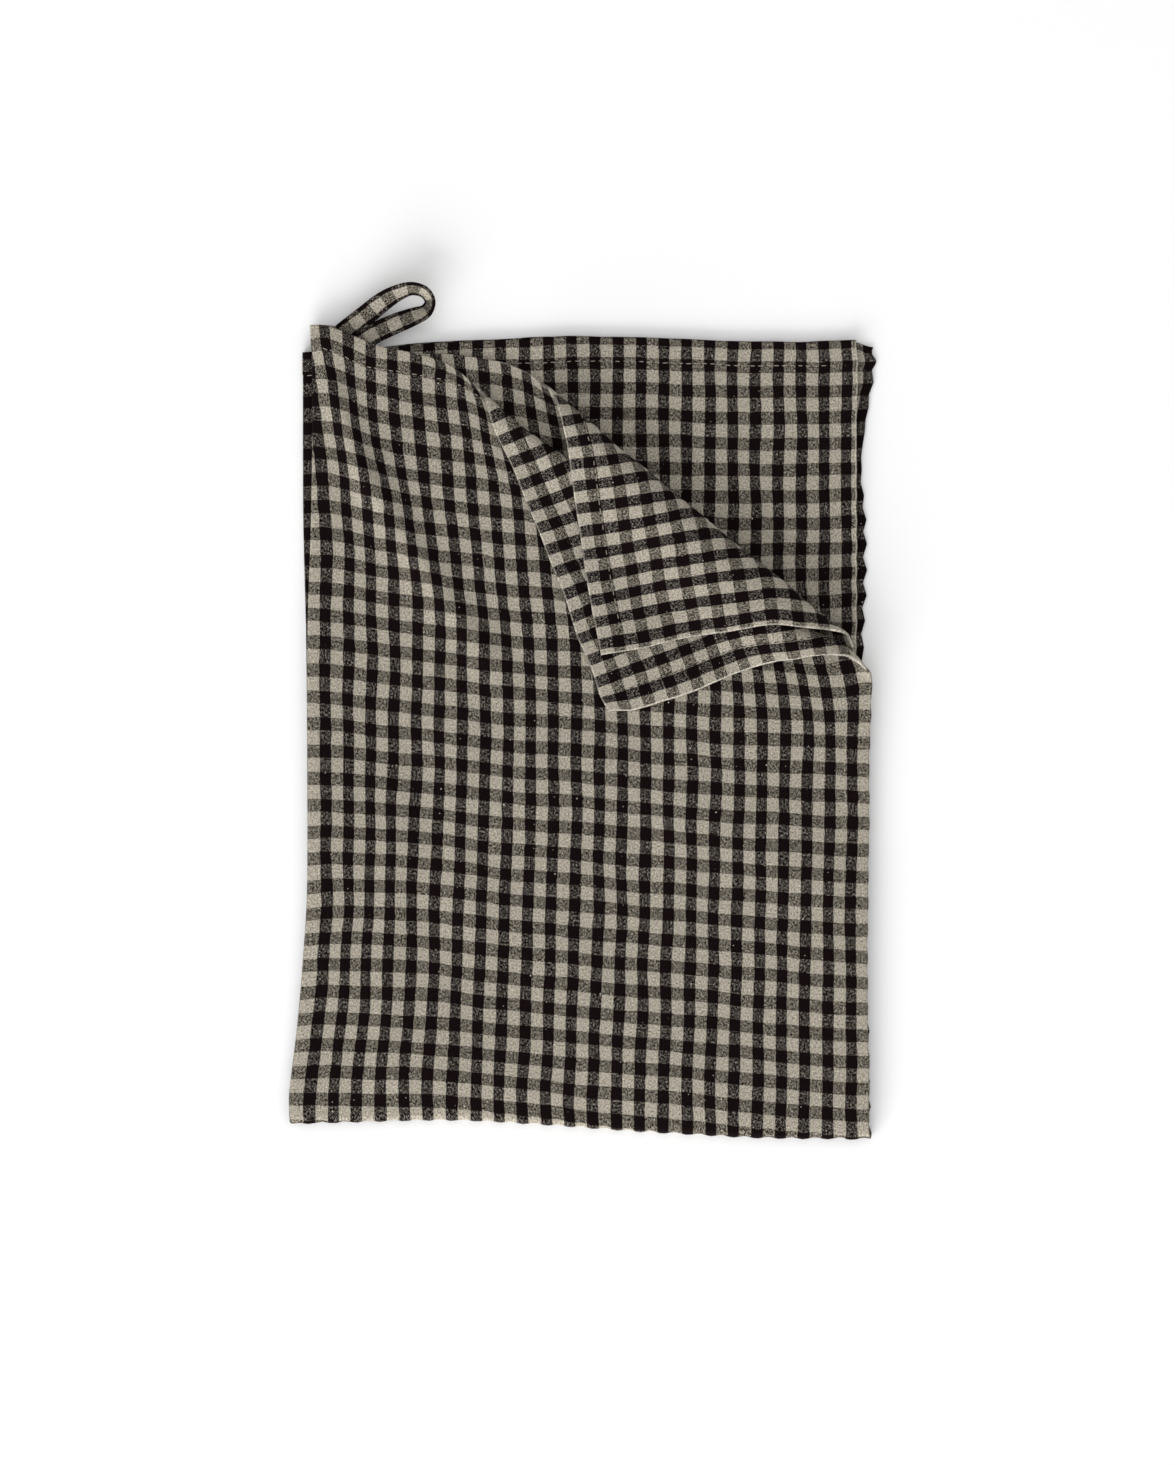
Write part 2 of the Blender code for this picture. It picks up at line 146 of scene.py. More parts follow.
def fold_in_four(across, down):
    """The flat grid's places in the folded stack, and their x, y and z with no corner turned."""
    u, v, shift = cloth_point(across, down)
    front, outer = down < LENGTH / 2, across > 0
    gone = np.abs(u - shift)
    round_fold = np.clip((u - shift) / TURN, -math.pi / 2, math.pi / 2)
    out = TURN * np.sin(round_fold)
    from_fold = TURN * (1 - np.cos(round_fold)) + np.maximum(gone - TURN * math.pi / 2, 0.0)
    past_cross = v - (CROSS_FOLD_V + CROSS_FOLD_LEAN * np.abs(u))
    round_cross = np.clip(past_cross / CROSS_TURN, -math.pi / 2, math.pi / 2)
    up = CROSS_TURN * (1 - np.cos(round_cross))
    up = up + np.maximum(np.abs(past_cross) - CROSS_TURN * math.pi / 2, 0.0)
    z = CROSS_HEIGHT - (CROSS_TURN + out) * np.sin(round_cross)

    fold_x = np.where(front, read(OUTLINE, "front_fold", up), read(OUTLINE, "back_fold", up))
    side_x = np.where(outer, read(OUTLINE, "under", up), read(OUTLINE, "inner_back", up))
    side_x = np.where(front & outer, read(OUTLINE, "top_layer", up), side_x)
    side_u = np.where(outer, U_HIGH - np.where(front, shift, 0.0), -U_LOW)
    x = fold_x + from_fold * (side_x - fold_x) / side_u
    slack = read_pairs(INNER_SLACK, up) * ease(from_fold / INNER_SLACK_REACH)
    x = x - np.where(front & ~outer, slack, 0.0)
    y = read(ACROSS, "cross_fold", x) + up - out * np.cos(round_cross)
    drag = np.where(outer, read(ACROSS, "outer_drag", x), read(ACROSS, "inner_drag", x))
    back_rise = read(ACROSS, "back_rise", x) * up / CROSS_FOLD_V
    y = y + np.where(front, -drag * read_pairs(DRAG_BY_HEIGHT, up), back_rise)
    return Place(u, v, front, outer, from_fold, up), x, y, z


# A crest is the line over which a front layer turns down. Each pair is a size at the top hem and
# at the side hem.
Crest = namedtuple(
    "Crest",
    "cloth_top cloth_side top side corner overrun bend under edge bulge stand land lies_at "
    "rises_from hold gather",
)
OUTER_CREST = Crest(
    cloth_top=(101.0, 0.0),
    cloth_side=(254.0, 108.0),
    top=(-47.1, 149.8),
    side=(122.7, 28.4),
    corner=126.5,
    overrun=(-1.0, 8.3),
    bend=10.4,
    under=(2.0, 4.0),
    edge=(6.9, 9.4),
    bulge=(8.6, 13.2),
    stand=(2.4, 8.0),
    land=(11.0, 40.0),
    lies_at=SHEET / 2 + 4 * PITCH,
    rises_from=SHEET / 2 + 3 * PITCH,
    hold=(1.0, 4.0),
    gather=(50.0, 70.0),
)
INNER_CREST = Crest(
    cloth_top=(118.8, 0.0),
    cloth_side=(245.0, 107.0),
    top=(-19.3, 155.6),
    side=(113.8, 44.0),
    corner=96.2,
    overrun=(3.5, 3.5),
    bend=5.5,
    under=(6.0, 6.0),
    edge=(8.4, 9.9),
    bulge=(13.4, 17.0),
    stand=(7.0, 14.0),
    land=(35.0, 55.0),
    lies_at=SHEET / 2 + 5.5 * PITCH,
    rises_from=SHEET / 2 + 2 * PITCH,
    hold=(3.0, 8.0),
    gather=(30.0, 44.0),
)
OVERRUN_REACH = 30.0
OVERRUN_LIMIT = 1.15
BEND_REACH = 45.0
BEND_LIMIT = 1.3
ARC_STEPS = 16


def mix(pair, share):
    return pair[0] + (pair[1] - pair[0]) * share


def from_line(x, y, start, end):
    """How far places are to the right of a line and along it, and the line's length."""
    run = math.dist(start, end)
    ex, ey = (end[0] - start[0]) / run, (end[1] - start[1]) / run
    dx, dy = x - start[0], y - start[1]
    return dx * ey - dy * ex, dx * ex + dy * ey, run


def crest_section(crest, share, past):
    """Distance back from a crest's edge, and height, of cloth `past` mm beyond the edge."""
    n = len(past)
    turn = np.linspace(0.0, math.pi / 2, ARC_STEPS)[None, :]
    fall = np.linspace(0.0, 1.0, 2 * ARC_STEPS)[None, 1:]
    under, stand, land = (mix(size, share)[:, None] for size in (crest.under, crest.stand, crest.land))
    edge, bulge = mix(crest.edge, share)[:, None], mix(crest.bulge, share)[:, None]
    below_back = under * (1 - np.cos(turn))
    below_height = edge - (edge - crest.rises_from) * np.sin(turn)
    above_back = np.hstack([stand * (1 - np.cos(turn)), stand + (land - stand) * fall])
    drop = bulge + (crest.lies_at - bulge) * fall**2 * (3 - 2 * fall)
    above_height = np.hstack([edge + (bulge - edge) * np.sin(turn), drop])

    def along(back, height):
        run = np.cumsum(np.hypot(np.diff(back, axis=1), np.diff(height, axis=1)), axis=1)
        run = np.hstack([np.zeros((n, 1)), run])
        far = np.abs(past)
        k = np.clip((run < far[:, None]).sum(axis=1) - 1, 0, run.shape[1] - 2)
        row = np.arange(n)
        t = np.clip((far - run[row, k]) / (run[row, k + 1] - run[row, k]), 0.0, 1.0)
        over = np.maximum(far - run[:, -1], 0.0)
        at_back = back[row, k] + (back[row, k + 1] - back[row, k]) * t + over
        return at_back, height[row, k] + (height[row, k + 1] - height[row, k]) * t

    below, above = along(below_back, below_height), along(above_back, above_height)
    return np.where(past < 0, below[0], above[0]), np.where(past < 0, below[1], above[1])


def turn_corner(crest, across, v, x, y, z):
    """Carries cloth near and beyond a crest from its place in the flat pair to the turned corner."""
    off, along, run = from_line(across, v, crest.cloth_top, crest.cloth_side)
    share = np.clip(along / run, 0.0, 1.0)
    bend = crest.bend * np.clip((along - run) / BEND_REACH + 1.0, 0.0, BEND_LIMIT) ** 2
    past = off + bend
    hold = mix(crest.hold, share)
    gather = crest.gather[0] + (crest.gather[1] - crest.gather[0]) * np.sin(math.pi * share)
    back, height = crest_section(crest, share, past)
    back = back - bend * ease(past / OVERRUN_REACH)
    corner_along = from_line(crest.cloth_side[0], 0.0, crest.cloth_top, crest.cloth_side)[1]
    beyond = along - corner_along
    to_side = crest.overrun[1] * np.minimum(beyond / (run - corner_along), OVERRUN_LIMIT)
    to_top = crest.overrun[0] * np.minimum(-beyond / corner_along, 1.0)
    stretch = np.where(beyond > 0, to_side, to_top) * (1 - ease(past / OVERRUN_REACH))
    drawn = math.dist(crest.top, crest.side)
    ex, ey = (crest.side[0] - crest.top[0]) / drawn, (crest.side[1] - crest.top[1]) / drawn
    place = crest.corner + beyond + stretch
    turned_x = crest.top[0] + ex * place + ey * back
    turned_y = crest.top[1] + ey * place - ex * back
    held = (1 - np.maximum((-past - hold) / gather, 0.0)) ** 2
    held = np.where(past <= -(hold + gather), 0.0, held)
    return x + (turned_x - x) * held, y + (turned_y - y) * held, np.where(held > 0, height, z)


# Where the top layer's threads are pulled from their ruled places. Each pull is strongest at its own
# u and v, fades over its width and length, and moves the threads so far across and up there.
Pull = namedtuple("Pull", "u v wide long across up")
PULLS = (
    # the slack of the drawn hem
    Pull(76, 0, 18, 12, 5.0, 1.0),
    Pull(80, 4, 26, 16, 0.0, 4.6),
    Pull(58, 2, 12, 12, 0.0, 1.8),
    Pull(90, 20, 14, 11, 0.6, 1.3),
    Pull(42, -6, 22, 10, 2.0, 0.0),
    Pull(36, 10, 8, 7, 0.0, -1.2),
    # the long soft crease below it
    Pull(46, 34, 24, 26, -4.6, -0.4),
    Pull(88, 66, 38, 42, -3.5, 0.0),
    Pull(56, 76, 18, 20, -1.4, 0.0),
    Pull(118, 100, 30, 24, -1.5, -0.3),
    # along the lengthwise fold
    Pull(12, 8, 12, 10, -1.2, 1.8),
    Pull(8, 60, 17, 50, 1.2, 0.4),
    Pull(10, 280, 18, 70, 1.7, 0.0),
    # the shallow troughs lower down
    Pull(48, 122, 28, 45, 0.8, 1.2),
    Pull(75, 245, 50, 40, -1.5, 0.0),
    Pull(42, 235, 16, 34, -0.8, 0.4),
    Pull(40, 268, 44, 66, 0.0, 2.3),
    Pull(92, 205, 24, 40, 0.2, -0.9),
    Pull(212, 160, 48, 55, 1.3, 1.5),
    Pull(192, 282, 40, 75, 0.3, 2.6),
    Pull(168, 325, 32, 20, 0.0, 1.3),
    Pull(82, 340, 50, 28, 0.8, 1.8),
    Pull(220, 345, 55, 26, -1.2, 0.3),
)
PULLS_STOP_AT_CREST = (-4.0, 18.0)  # where the fade starts, and its run
PULLS_STOP_BEHIND = 45.0
FOLD_HOLD = 8.0  # so far from the lengthwise fold the cloth is held by it


def near(distance, reach):
    """1 at a line and close to 0 beyond twice the reach from it."""
    return np.exp(-((distance / reach) ** 2))


def all_pulls(u, v):
    """How far the pulls together move the threads at any cloth point, across and up."""
    across, up = np.zeros_like(u), np.zeros_like(u)
    for pull in PULLS:
        share = near(u - pull.u, pull.wide) * near(v - pull.v, pull.long)
        across = across + share * pull.across
        up = up + share * pull.up
    return across, up


def draw_threads(at, x, y):
    """Moves the layers' threads by the pulls, which fade at the crest and behind."""
    off = from_line(np.abs(at.u), at.v, OUTER_CREST.cloth_top, OUTER_CREST.cloth_side)[0]
    start, run = PULLS_STOP_AT_CREST
    at_crest, behind = 1 - ease((off - start) / run), 1 - ease(at.up / PULLS_STOP_BEHIND)
    full = np.where(at.front & at.outer, at_crest, behind) * ease(at.from_fold / FOLD_HOLD)
    within = np.where(at.front, at.v, CROSS_FOLD_V)
    across, up = all_pulls(np.abs(at.u), within)
    return x + full * across, y + full * up


# How the hems bow. `across` runs along a turned corner's top hem and moves it to the right, and
# `rise` runs down its side hem and moves that up. Both fade with the distance from their hem.
Bow = namedtuple("Bow", "across from_crest down_hem rise rise_reach")
OUTER_BOW = Bow(
    across=(
        (101, 0.0), (118, 0.3), (142, 1.6), (166, 2.9), (190, 3.8), (214, 3.3), (226, 4.2), (254, 4.0),
    ),
    from_crest=30.0,
    down_hem=90.0,
    rise=((60, 0.0), (91, 0.2), (103, 2.8), (115, 4.6), (122, 3.0), (127, 0.0)),
    rise_reach=14.0,
)
INNER_BOW = Bow(
    across=((116, 0.0), (130, 3.2), (154, 3.6), (178, 2.7), (202, 2.1), (226, 1.2), (245, 1.8)),
    from_crest=20.0,
    down_hem=80.0,
    rise=((0, 1.2), (20, 1.4), (32, 2.2), (80, 1.9), (91, 1.0), (115, 1.3), (126, 0.0)),
    rise_reach=40.0,
)
INNER_TOP_RISE = (
    (0, 0.0), (12, -1.5), (33, -4.0), (54, -4.5), (64, -2.0), (75, 0.0), (85, 1.8), (95, 4.2), (106, 3.7),
    (116, 0.3), (120, 0.0),
)
INNER_TOP_REACH = 14.0
BACK_ACROSS = ((0, 0.0), (100, 3.3), (129, 3.1), (235, 0.9), (245, 0.2))
BACK_UP = ((0, 0.0), (100, 0.0), (240, 3.6), (335, 2.9), (346, 2.3))
CORNER_ROUND = 4.4
CORNER_ROUND_REACH = 9.0
BACK_CORNER_ROUND = 3.0
BACK_CORNER_REACH = (6.0, 7.0)


def bow_hems(at, x, y):
    """Bows the hems of the front layers, shifts the back ones and rounds two of the corners."""
    in_outer, in_inner = at.front & at.outer, at.front & ~at.outer
    for bow, crest, layer, side_u in (
        (OUTER_BOW, OUTER_CREST, in_outer, U_HIGH),
        (INNER_BOW, INNER_CREST, in_inner, -U_LOW),
    ):
        off = from_line(np.abs(at.u), at.v, crest.cloth_top, crest.cloth_side)[0]
        moved = read_pairs(bow.across, np.abs(at.u)) * ease(off / bow.from_crest)
        risen = read_pairs(bow.rise, at.v) * near(side_u - np.abs(at.u), bow.rise_reach)
        x = x + np.where(layer, moved * np.clip(1 - at.v / bow.down_hem, 0.0, 1.0), 0.0)
        y = y + np.where(layer, risen, 0.0)
    y = y + np.where(in_inner, read_pairs(INNER_TOP_RISE, -at.u) * near(at.v, INNER_TOP_REACH), 0.0)
    corner = near(U_HIGH - at.u, CORNER_ROUND_REACH) * near(at.v, CORNER_ROUND_REACH)
    y = y + np.where(in_outer, CORNER_ROUND * corner, 0.0)
    x = x + np.where(at.front | at.outer, 0.0, read_pairs(BACK_ACROSS, at.from_fold))
    y = y + np.where(at.front, 0.0, read_pairs(BACK_UP, at.up))
    corner = near(U_HIGH - at.u, BACK_CORNER_REACH[0]) * near(LENGTH - at.v, BACK_CORNER_REACH[1])
    return x, y - BACK_CORNER_ROUND * corner


# The threads' own unevenness, and the scallops that the bands of the check make along an edge.
UNEVEN = 0.35
UNEVEN_SIZE = 34.0
UNEVEN_UP = 12.0
RIPPLES, RIPPLES_PEAK = 7, 3.2
SCALLOP = 0.45
SCALLOP_UP, SCALLOP_IN = 6.0, 9.0
SCALLOP_FRONT, SCALLOP_UNDER, SCALLOP_BACK = 0.5, 2.0, 0.6  # its shares at the side hems


def uneven(a, b, size, seed):
    """A smooth chance value of about -1 to 1, whose bumps are `size` across."""
    chance = np.random.default_rng(seed)
    total = np.zeros(np.shape(a))
    for _ in range(RIPPLES):
        turn, phase = chance.uniform(0, 2 * math.pi, 2)
        reach = size * chance.uniform(0.8, 1.5)
        total += np.sin((a * math.cos(turn) + b * math.sin(turn)) * 2 * math.pi / reach + phase)
    return total / RIPPLES_PEAK


def from_side_hem(at):
    """Distance along the cloth from the side hem of a place's own half."""
    return np.where(at.outer, U_HIGH, -U_LOW) - np.abs(at.u)


def roughen(at, x, y):
    """Adds the threads' unevenness and the scallops of the cross fold and the side hems."""
    x = x + UNEVEN * uneven(at.u, at.v, UNEVEN_SIZE, 8) * ease(at.from_fold / FOLD_HOLD)
    y = y + UNEVEN * uneven(at.u, at.v, UNEVEN_SIZE, 9) * ease(at.up / UNEVEN_UP)
    columns_out = np.cos((at.u - COLUMN_MIDDLE) * 2 * math.pi / COLUMN_PITCH)
    rows_out = np.cos((at.v - ROW_MIDDLE) * 2 * math.pi / ROW_PITCH)
    share = np.where(at.front, SCALLOP_FRONT, np.where(at.outer, SCALLOP_UNDER, SCALLOP_BACK))
    x = x + SCALLOP * share * rows_out * (1 - ease(from_side_hem(at) / SCALLOP_IN))
    y = y - SCALLOP * columns_out * (1 - ease(at.up / SCALLOP_UP))
    return x, y


# Soft waves and creases of the front, the lift of its top hem near the fold, the droop where it
# passes the back's top hem, and the back's own side hem, which stands a little off the layer below.
Crease = namedtuple("Crease", "start end height width")
CREASES = (
    Crease((-112.0, 150.0), (-97.0, 112.0), 3.5, 5.0),
    Crease((-97.0, 112.0), (-48.0, 38.0), 3.0, 6.5),
    Crease((-84.0, -30.0), (-88.0, -150.0), 1.6, 7.0),
    Crease((-60.0, 20.0), (-52.0, -90.0), 1.0, 8.0),
    Crease((45.0, 10.0), (38.0, -110.0), 1.0, 9.0),
    Crease((20.0, -20.0), (100.0, -60.0), 0.9, 16.0),
    Crease((-70.0, -60.0), (30.0, -140.0), 0.8, 18.0),
)
WAVE_HEIGHT = 1.3
WAVE_SIZE = 85.0
INNER_LIFT = 0.4
LIFT_UP = 20.0
HEM_LIFT = 3.0
HEM_LIFT_AT = (-103.0, 175.0)
HEM_LIFT_REACH = (26.0, 24.0)
OVERHANG_DROOP = 1.8
OVERHANG_FROM = 340.5
OVERHANG_REACH = 17.0
BACK_HEM_LIFT = 1.1
BACK_HEM_LIFT_UP = (215.0, 40.0)  # where it starts above the cross fold, and its run
BACK_HEM_LIFT_IN = 4.0


def waves(x, y):
    """Height of the soft waves and creases over a place on the table."""
    total = WAVE_HEIGHT * (0.5 + 0.5 * uneven(x, y, WAVE_SIZE, 4))
    for crease in CREASES:
        off, along, run = from_line(x, y, crease.start, crease.end)
        beyond = np.maximum(np.maximum(-along, along - run), 0.0)
        total += crease.height * near(off, crease.width) * near(beyond, 2 * crease.width)
    return total


def lift(at, x, y, z):
    """Raises the front by its waves and creases, and lets its overhang droop."""
    free = ease(at.from_fold / FOLD_HOLD)
    share = ease(at.up / LIFT_UP) * free * np.where(at.outer, 1.0, INNER_LIFT)
    past_back = y - read(ACROSS, "cross_fold", x) - read(ACROSS, "back_rise", x) - OVERHANG_FROM
    droop = OVERHANG_DROOP * ease(past_back / OVERHANG_REACH)
    z = z + np.where(at.front, waves(x, y) * share - droop, 0.0)
    at_hem = near(x - HEM_LIFT_AT[0], HEM_LIFT_REACH[0]) * near(y - HEM_LIFT_AT[1], HEM_LIFT_REACH[1])
    z = z + np.where(at.front & at.outer, HEM_LIFT * free * at_hem, 0.0)
    start, run = BACK_HEM_LIFT_UP
    raised = near(from_side_hem(at), BACK_HEM_LIFT_IN) * ease((at.up - start) / run)
    return z + np.where(at.front | at.outer, 0.0, BACK_HEM_LIFT * raised)


def lay_cloth(across, down):
    """Where points of the flat grid lie in the folded towel, in millimetres in the frame."""
    at, x, y, z = fold_in_four(across, down)
    for crest, layer in ((OUTER_CREST, at.front & at.outer), (INNER_CREST, at.front & ~at.outer)):
        x[layer], y[layer], z[layer] = turn_corner(
            crest, np.abs(at.u[layer]), at.v[layer], x[layer], y[layer], z[layer]
        )
    x, y = draw_threads(at, x, y)
    x, y = bow_hems(at, x, y)
    x, y = roughen(at, x, y)
    z = lift(at, x, y, z)
    return np.stack([x + TABLE_ZERO[0], y + TABLE_ZERO[1], z], axis=-1)


# The sheet's own grid, finer in the hems and round the folds.
def spaced(stops, fine):
    """Stations from stop to stop, each stretch cut in equal steps no longer than its own size."""
    stations = [stops[0]]
    for start, end, step in zip(stops, stops[1:], fine):
        count = max(1, math.ceil((end - start) / step))
        stations += [start + (end - start) * k / count for k in range(1, count + 1)]
    return stations


HEM_IN = [0.0, 0.7, 2.0, HEM - 2.6, HEM - 0.9, HEM, HEM + 0.9, HEM + 2.6]
HEM_STEPS = [1.0, 1.5, 2.2, 2.0, 1.0, 1.0, 2.0]
BODY_STEP, MIDDLE_STEP, BACK_STEP = 2.2, 3.2, 5.5
FINE_DOWN, FINE_ACROSS = 125.0, 95.0  # the corners turn above the first and beyond the second
turn_round = TURN * math.pi / 2
cross_round = CROSS_TURN * math.pi / 2
across_stops = (
    [U_LOW + d for d in HEM_IN]
    + [-FINE_ACROSS, -turn_round, turn_round, FINE_ACROSS]
    + [U_HIGH - d for d in reversed(HEM_IN)]
)
across_steps = HEM_STEPS + [BODY_STEP, MIDDLE_STEP, turn_round / 3, MIDDLE_STEP, BODY_STEP] + HEM_STEPS[::-1]
down_stops = (
    HEM_IN
    + [FINE_DOWN, LENGTH / 2 - cross_round, LENGTH / 2 + cross_round]
    + [LENGTH - d for d in reversed(HEM_IN)]
)
down_steps = HEM_STEPS + [BODY_STEP, MIDDLE_STEP, cross_round / 4, BACK_STEP] + HEM_STEPS[::-1]
columns, rows = spaced(across_stops, across_steps), spaced(down_stops, down_steps)
grid_across, grid_down = (g.ravel() for g in np.meshgrid(columns, rows))
places = lay_cloth(grid_across, grid_down)
cloth_u, cloth_v, _ = cloth_point(grid_across, grid_down)

wide = len(columns)
quads = [
    (j * wide + i, j * wide + i + 1, (j + 1) * wide + i + 1, (j + 1) * wide + i)
    for j in range(len(rows) - 1)
    for i in range(wide - 1)
]
towel_mesh = bpy.data.meshes.new("towel_cloth")
towel_mesh.from_pydata([tuple(p) for p in places * MM], [], quads)
towel_mesh.update()
cloth_map = towel_mesh.uv_layers.new(name="cloth")
corner_at = np.empty(len(towel_mesh.loops), dtype=np.int32)
towel_mesh.loops.foreach_get("vertex_index", corner_at)
flat_uv = np.stack([cloth_u - U_LOW, cloth_v], axis=-1)[corner_at] * MM
cloth_map.data.foreach_set("uv", flat_uv.ravel())
towel_mesh.shade_smooth()
towel = bpy.data.objects.new("towel_cloth", towel_mesh)
bpy.context.scene.collection.objects.link(towel)

# The hems are the thickest, and their stitching sinks into a groove.
HEM_THICKNESS = 1.25
BODY_SHARE, GROOVE_SHARE, GROOVE_HALF_WIDTH = 0.62, 0.5, 0.6
THICK_PAST_HEM = 0.4
edge_in = np.minimum.reduce([cloth_u - U_LOW, U_HIGH - cloth_u, cloth_v, LENGTH - cloth_v])
thickness = np.where(edge_in < HEM + THICK_PAST_HEM, 1.0, BODY_SHARE)
thickness = np.where(np.abs(edge_in - HEM) < GROOVE_HALF_WIDTH, GROOVE_SHARE, thickness)
hem_group = towel.vertex_groups.new(name="thickness")
for value in np.unique(thickness):
    hem_group.add(np.flatnonzero(thickness == value).tolist(), float(value), "REPLACE")
solid = towel.modifiers.new("sheet", "SOLIDIFY")
solid.thickness = HEM_THICKNESS * MM
solid.offset = 0.0
solid.use_even_offset = False
solid.vertex_group = "thickness"
solid.thickness_vertex_group = 0.0

# The check: how much of each pitch is dark, and how the back's bands lie closer than the front's.
DARK_SHARE = 0.49
BAND_SOFTNESS = 0.25
BACK_STRETCH = 0.005  # of its rows
BACK_HEM_DRAW, BACK_HEM_DRAW_IN = 0.08, 24.0  # more of its rows, near its top hem
BACK_SPREAD, BACK_SPREAD_AFTER = 0.018, 120.0  # of the lowest layer's columns

# The yarns and their order: what decides whether warp or weft lies on top at a point.
WARP_THREAD, WEFT_THREAD = 0.52, 0.58
DARK_WARP, PALE_WARP = (0.0045, 0.0019, 0.0025, 1.0), (0.345, 0.311, 0.252, 1.0)
DARK_WEFT, PALE_WEFT = (0.0055, 0.0026, 0.0020, 1.0), (0.335, 0.302, 0.254, 1.0)
WEAVE_LEAD, DARK_LEAD, WARP_LEAD = 0.26, 0.3, 0.62
WEAVE_RELIEF, RELIEF_DEPTH = 0.6, 0.12

# A grain's bumps to the millimetre across and along, its detail, where along it starts, its depth.
Grain = namedtuple("Grain", "across along detail start depth")
COLUMN_SWAY = Grain(0.9, 0.16, 1.0, 0.0, 0.9)
ROW_SWAY = Grain(0.16, 0.9, 1.0, 0.0, 0.9)
YARN = Grain(1.35, 1.0, 1.0, 0.0, 1.9)
SLUB = Grain(0.9, 0.16, 1.0, 0.0, 0.35)
TONE = Grain(0.05, 0.05, 2.0, 0.0, 0.12)
FLECK = Grain(1.5, 1.2, 1.0, 700.0, 2.4)
TUFT = Grain(0.8, 0.8, 0.0, 300.0, 14.0)
TUFT_RARITY, TUFT_COVER, TUFT_PALE = 4.62, 0.9, (0.62, 0.57, 0.48, 1.0)

# Pale edges on the turned corners' hems and on the back's side hem: partly real wear and partly painted
# highlight where light catches the edge.
LIT_WORN_EDGE = 0.7
LIT_WORN_PALE = (0.50, 0.46, 0.39, 1.0)
OUTER_LIT_WORN, INNER_LIT_WORN, TOP_LIT_WORN, BACK_LIT_WORN = 1.0, 0.55, 0.6, 0.7
LIT_WORN_SIDE_DOWN, LIT_WORN_TOP_FROM, LIT_WORN_BACK_FROM = 127.0, 90.0, CROSS_FOLD_V + 150.0
LIT_WEAR_ON_PALE, LIT_WEAR_LESS_ON_DARK = 0.75, 0.3


